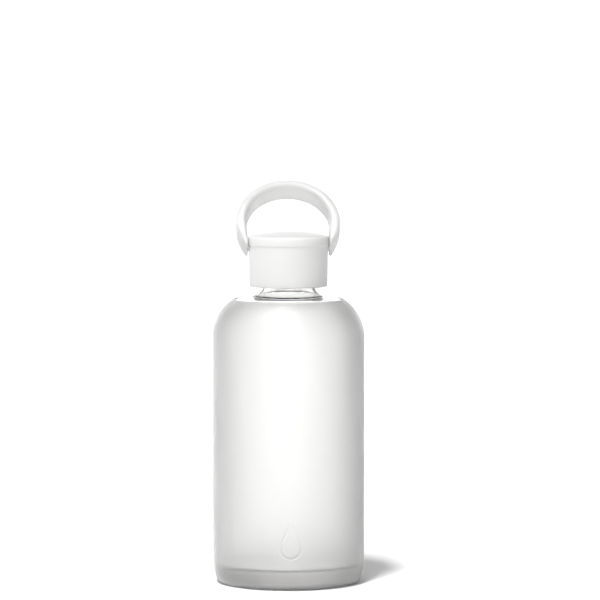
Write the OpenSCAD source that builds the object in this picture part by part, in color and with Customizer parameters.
// Glass water bottle in a silicone sleeve, with a screw cap and a swinging carry loop.
// Millimetres. The origin is the centre of the base, on the surface the bottle stands on, and +Z is up.
// The front is -Y. The carry loop leans back, towards +Y.

/* [Body] */
// Outside diameter of the sleeved body
body_d = 78; // [74:0.5:82]
// Height at which the straight body ends and the shoulder starts to curve
shoulder_z = 125.8; // [110:0.2:135]
// Radius of the shoulder curve, over the sleeve
shoulder_r = 24; // [22:0.5:25]
// Height at which the straight body starts, above the heel curve
heel_z = 15.5; // [12:0.5:18]
// Radius of the long gentle heel curve
heel_r = 48; // [42:1:60]
// Radius of the small round at the foot
foot_r = 3; // [2.5:0.1:3.5]

/* [Glass] */
// Thickness of the glass in the body wall
glass_t = 2.8; // [2:0.1:3.2]
// Height of the inside floor above the ground
floor_z = 9.6; // [7:0.1:10]
// Outside diameter of the neck
neck_d = 30.4; // [29.8:0.1:30.6]
// Inside diameter of the mouth
mouth_d = 24.5; // [22:0.1:25]
// Height of the sealing rim of the mouth above the ground
rim_z = 171.5; // [171:0.1:171.6]

/* [Sleeve] */
// Thickness of the silicone sleeve
sleeve_t = 1.2; // [1:0.1:1.8]
// Angle round the shoulder curve at which the sleeve ends
sleeve_end = 56; // [45:1:62]

/* [Screw thread] */
// Rise of the thread in one turn (two starts, so the ridges are half of this apart)
thread_lead = 8; // [8:0.1:9]
// Height of the ridges above the neck
thread_h = 1.2; // [0.8:0.1:1.25]
// Part of a turn that each ridge covers
thread_turns = 0.65; // [0.4:0.05:0.7]

/* [Cap] */
// Diameter of the low flange round the top of the cap
flange_d = 41.4; // [41.2:0.1:41.4]
// Diameter of the skirt at its lower edge
skirt_d = 40; // [39.8:0.1:40.2]
// Height of the skirt's lower edge above the ground
skirt_z = 152.3; // [152:0.1:158]
// Height of the flange's lower edge above the ground
flange_z = 173.4; // [173:0.1:174]
// Height of the cap's upper edge above the ground
cap_edge_z = 178; // [177.6:0.1:178.5]
// Rise of the domed top from the edge to the centre
dome_h = 2.6; // [1:0.1:3.5]

/* [Carry loop] */
// Outside diameter of the ring
loop_d = 53.5; // [53:0.5:56]
// Thickness of the ring, measured along a radius
loop_t = 5.4; // [5:0.1:5.6]
// Width of the ring, measured along its axis
loop_w = 11.8; // [8:0.1:12]
// Distance from the pivot to the centre of the ring
loop_rise = 13.4; // [13:0.1:14.5]
// Height of the pivot above the ground
pivot_z = 172.4; // [172:0.1:173]
// Lean of the loop at rest, back from upright
loop_lean = 41; // [0:1:100]

/* [Hidden] */
$fn = 96;

body_r = body_d / 2;
neck_r = neck_d / 2;
mouth_r = mouth_d / 2;
flange_r = flange_d / 2;
skirt_r = skirt_d / 2;

// Gap between two pieces that sit against each other.
seat_gap = 0.05;

// Centres of the body's curves: every skin of the body is made of arcs about the same three centres.
shoulder_c = [body_r - shoulder_r, shoulder_z];
heel_c = [body_r - heel_r, heel_z];
foot_c = [heel_c.x + sqrt(pow(heel_r - foot_r, 2) - pow(heel_z - foot_r, 2)), foot_r];
foot_a = atan2(foot_c.y - heel_c.y, foot_c.x - heel_c.x);

// Neck: a hollow round from the shoulder into the neck, and a round inside it from the mouth to the ceiling.
neck_round = 4.5;
throat_round = 7.3;
neck_c = [neck_r + neck_round,
          shoulder_c.y + sqrt(pow(shoulder_r - sleeve_t + neck_round, 2)
                              - pow(neck_r + neck_round - shoulder_c.x, 2))];
neck_a = atan2(neck_c.y - shoulder_c.y, neck_c.x - shoulder_c.x);
ceiling_r = shoulder_r - sleeve_t - glass_t;
throat_c = [mouth_r + throat_round,
            shoulder_c.y + sqrt(pow(ceiling_r + throat_round, 2)
                                - pow(mouth_r + throat_round - shoulder_c.x, 2))];
throat_a = atan2(throat_c.y - shoulder_c.y, throat_c.x - shoulder_c.x);

// Base of the glass: the inside corner, and the rises of the middle of the floor and of the underside.
floor_round = 1.2;
floor_rise = 0.3;
push_up = 1.2;
inside_r = body_r - sleeve_t - glass_t;

// Thread: ridges on the glass, and ridges in the insert that hang just under them.
thread_starts = 2;
thread_z = rim_z - 7.3;
ridge_foot = 1.1;
ridge_top = 0.5;
nut_foot = 0.75;
nut_top = 0.4;
nut_clear = 0.3;
flank_gap = 0.15;
nut_drop = ridge_foot + nut_top + flank_gap;

// Inner closure and its seal.
insert_r = 18;
insert_bore_r = neck_r + thread_h + 0.35;
insert_z = 161.4;
gasket_t = 1.5;
gasket_r = insert_bore_r - 0.25;
insert_ceiling_z = rim_z + gasket_t + 2 * seat_gap;
insert_top_z = insert_ceiling_z + 1.9;

// Cap: the shell's bore, the seat of the top cover, and the sphere that the domed top follows.
shell_bore_r = insert_r + seat_gap;
cover_seat_z = insert_top_z + seat_gap;
cover_r = 18.75;
dome_r = (pow(flange_r, 2) + pow(dome_h, 2)) / (2 * dome_h);
dome_top_z = cap_edge_z + dome_h;

// Carry loop: flats that pass the flange, and the studs that turn in the shell.
ear_gap = 0.2;
ear_x = flange_r + ear_gap;
loop_r = loop_d / 2;
loop_in_r = loop_r - loop_t;
loop_edge = 2.2;
stud_r = 2.2;
stud_clear = 0.06;
stud_end_x = insert_r + 0.2;

// Points on an arc about c, from angle a0 to a1 in n steps. first = 1 leaves out the first point.
function arc(c, r, a0, a1, n, first = 0) =
    [for (i = [first : n]) let (a = a0 + (a1 - a0) * i / n) c + r * [cos(a), sin(a)]];

// The body's outline from the foot up, set in by inset, to an angle on the shoulder curve.
function body_line(inset, top_a) = concat(
    arc(foot_c, foot_r - inset, -90, foot_a, 6),
    arc(heel_c, heel_r - inset, foot_a, 0, 8, 1),
    arc(shoulder_c, shoulder_r - inset, 0, top_a, 18));

// A shallow crown from radius r at height z up to the axis, rising by h.
function crown(r, z, h, n) = let (big = (r * r + h * h) / (2 * h), half = asin(r / big))
    arc([0, z + h - big], big, 90 - half, 90, n, 1);

function reversed(line) = [for (i = [len(line) - 1 : -1 : 0]) line[i]];

// Height of the domed top of the cap at radius r.
function dome_z(r) = dome_top_z - dome_r + sqrt(dome_r * dome_r - r * r);

// A helical ridge with a trapezoid section, running up from z over thread_turns.
// It grows to its full height over the first and last two steps.
module ridge(foot, crest, foot_half, top_half, z, start) {
    steps = 24;
    inward = crest < foot;
    points = [for (i = [0 : steps])
        let (a = start + 360 * thread_turns * i / steps,
             up = z + thread_lead * thread_turns * i / steps,
             grown = max(0.2, min(1, i / 2, (steps - i) / 2)),
             tip = foot + (crest - foot) * grown)
        for (p = [[foot, -foot_half], [tip, -top_half], [tip, top_half], [foot, foot_half]])
            [p.x * cos(a), p.x * sin(a), up + p.y]];
    sides = [for (i = [0 : steps - 1]) for (k = [0 : 3])
        let (a = 4 * i + k, b = 4 * i + (k + 1) % 4)
        for (t = [[a, a + 4, b + 4], [a, b + 4, b]]) t];
    ends = [[0, 1, 2, 3], [for (k = [3 : -1 : 0]) 4 * steps + k]];
    faces = concat(sides, ends);
    polyhedron(points, inward ? faces : [for (f = faces) reversed(f)], convexity = 4);
}

module ridges(foot, crest, foot_half, top_half, z) {
    for (i = [0 : thread_starts - 1])
        ridge(foot, crest, foot_half, top_half, z, i * 360 / thread_starts);
}

// Thick-based glass vessel: the outside runs up to the rim, and the inside runs back down to the floor.
module glass_bottle() {
    lip_out = 1.3;
    lip_in = 0.9;
    color("aliceblue", 0.5) {
        rotate_extrude()
            polygon(concat(
                [[0, sleeve_t + push_up]],
                reversed(crown(26, sleeve_t, push_up, 6)),
                [[26, sleeve_t]],
                body_line(sleeve_t, neck_a),
                arc(neck_c, neck_round, neck_a + 180, 180, 8, 1),
                arc([neck_r - lip_out, rim_z - lip_out], lip_out, 0, 90, 5),
                arc([mouth_r + lip_in, rim_z - lip_in], lip_in, 90, 180, 5),
                arc(throat_c, throat_round, 180, throat_a + 180, 6),
                arc(shoulder_c, ceiling_r, throat_a, 0, 18, 1),
                arc([inside_r - floor_round, floor_z + floor_round], floor_round, 0, -90, 8),
                crown(inside_r - floor_round, floor_z, floor_rise, 6)));
        ridges(neck_r - 0.4, neck_r + thread_h, ridge_foot + 0.2, ridge_top, thread_z);
    }
}

// Stretched-on sleeve with a closed bottom and a rounded upper edge.
module silicone_sleeve() {
    edge_c = shoulder_c + (shoulder_r - sleeve_t / 2) * [cos(sleeve_end), sin(sleeve_end)];
    color("whitesmoke")
        rotate_extrude()
            polygon(concat(
                [[0, 0]],
                body_line(0, sleeve_end),
                arc(edge_c, sleeve_t / 2, sleeve_end, sleeve_end + 180, 8, 1),
                reversed(arc(shoulder_c, shoulder_r - sleeve_t, 0, sleeve_end, 18)),
                reversed(arc(heel_c, heel_r - sleeve_t, foot_a, 0, 8)),
                reversed(arc(foot_c, foot_r - sleeve_t, -90, foot_a, 6)),
                [[0, sleeve_t]]));
}

// Inner closure: a flat-topped cup with the female thread.
module threaded_insert() {
    color("gainsboro") {
        rotate_extrude()
            polygon([[insert_bore_r, insert_z], [insert_r, insert_z], [insert_r, insert_top_z],
                     [0, insert_top_z], [0, insert_ceiling_z], [insert_bore_r, insert_ceiling_z]]);
        ridges(insert_bore_r + 0.35, neck_r + nut_clear, nut_foot, nut_top, thread_z - nut_drop);
    }
}

// Flat silicone seal between the rim of the glass and the closure's ceiling.
module sealing_gasket() {
    color("lightgray")
        translate([0, 0, rim_z + seat_gap])
            cylinder(r = gasket_r, h = gasket_t);
}

// Outer cap: skirt with a slight draft, low flange, seat for the cover, and a hole each side for the studs.
module cap_shell() {
    edge = 0.8;
    lip = 0.4;
    draft = 0.3;
    color("white")
        difference() {
            rotate_extrude()
                polygon(concat(
                    arc([skirt_r - lip, skirt_z + lip], lip, -90, 0, 4),
                    [[skirt_r + draft, flange_z - 0.6]],
                    arc([flange_r - lip, flange_z + lip], lip, -60, 0, 4),
                    arc([flange_r - edge, cap_edge_z - edge + 0.1], edge, 0, 82, 6),
                    [[cover_r + seat_gap, dome_z(cover_r)],
                     [cover_r + seat_gap, cover_seat_z],
                     [shell_bore_r, cover_seat_z],
                     [shell_bore_r, skirt_z + lip],
                     [shell_bore_r + lip, skirt_z]]));
            translate([0, 0, pivot_z])
                rotate([0, 90, 0])
                    cylinder(r = stud_r + stud_clear, h = body_d, center = true);
        }
}

// Domed disc that closes the top of the cap inside the flange.
module cap_top_cover() {
    bevel = 0.3;
    color("ghostwhite")
        rotate_extrude()
            polygon(concat(
                [[0, cover_seat_z + seat_gap],
                 [cover_r, cover_seat_z + seat_gap],
                 [cover_r, dome_z(cover_r) - bevel]],
                [for (i = [8 : -1 : 0]) let (r = (cover_r - bevel) * i / 8) [r, dome_z(r)]]));
}

// Round carry loop, cut flat where it passes the flange, with a stud on each side.
module carry_loop() {
    flat_top = loop_rise - sqrt(max(0, pow(loop_in_r, 2) - pow(ear_x, 2)));
    mid_r = loop_r - loop_t / 2;
    color("snow")
        translate([0, 0, pivot_z])
            rotate([-loop_lean, 0, 0]) {
                difference() {
                    translate([0, 0, loop_rise])
                        rotate([90, 0, 0])
                            rotate_extrude()
                                translate([mid_r, 0])
                                    rounded_section(loop_t, loop_w, loop_edge);
                    translate([-ear_x, -loop_w, -loop_d])
                        cube([2 * ear_x, 2 * loop_w, loop_d + flat_top]);
                }
                for (side = [0, 180])
                    rotate([0, 90, side])
                        translate([0, 0, stud_end_x])
                            cylinder(r = stud_r, h = ear_x + 1 - stud_end_x);
            }
}

// Rectangle w by h about the origin, with arcs of radius r at its corners.
module rounded_section(w, h, r) {
    polygon([for (q = [0 : 3])
        let (c = [(q == 0 || q == 3 ? 1 : -1) * (w / 2 - r), (q < 2 ? 1 : -1) * (h / 2 - r)])
        each arc(c, r, 90 * q, 90 * q + 90, 6)]);
}

glass_bottle();
silicone_sleeve();
threaded_insert();
sealing_gasket();
cap_shell();
cap_top_cover();
carry_loop();
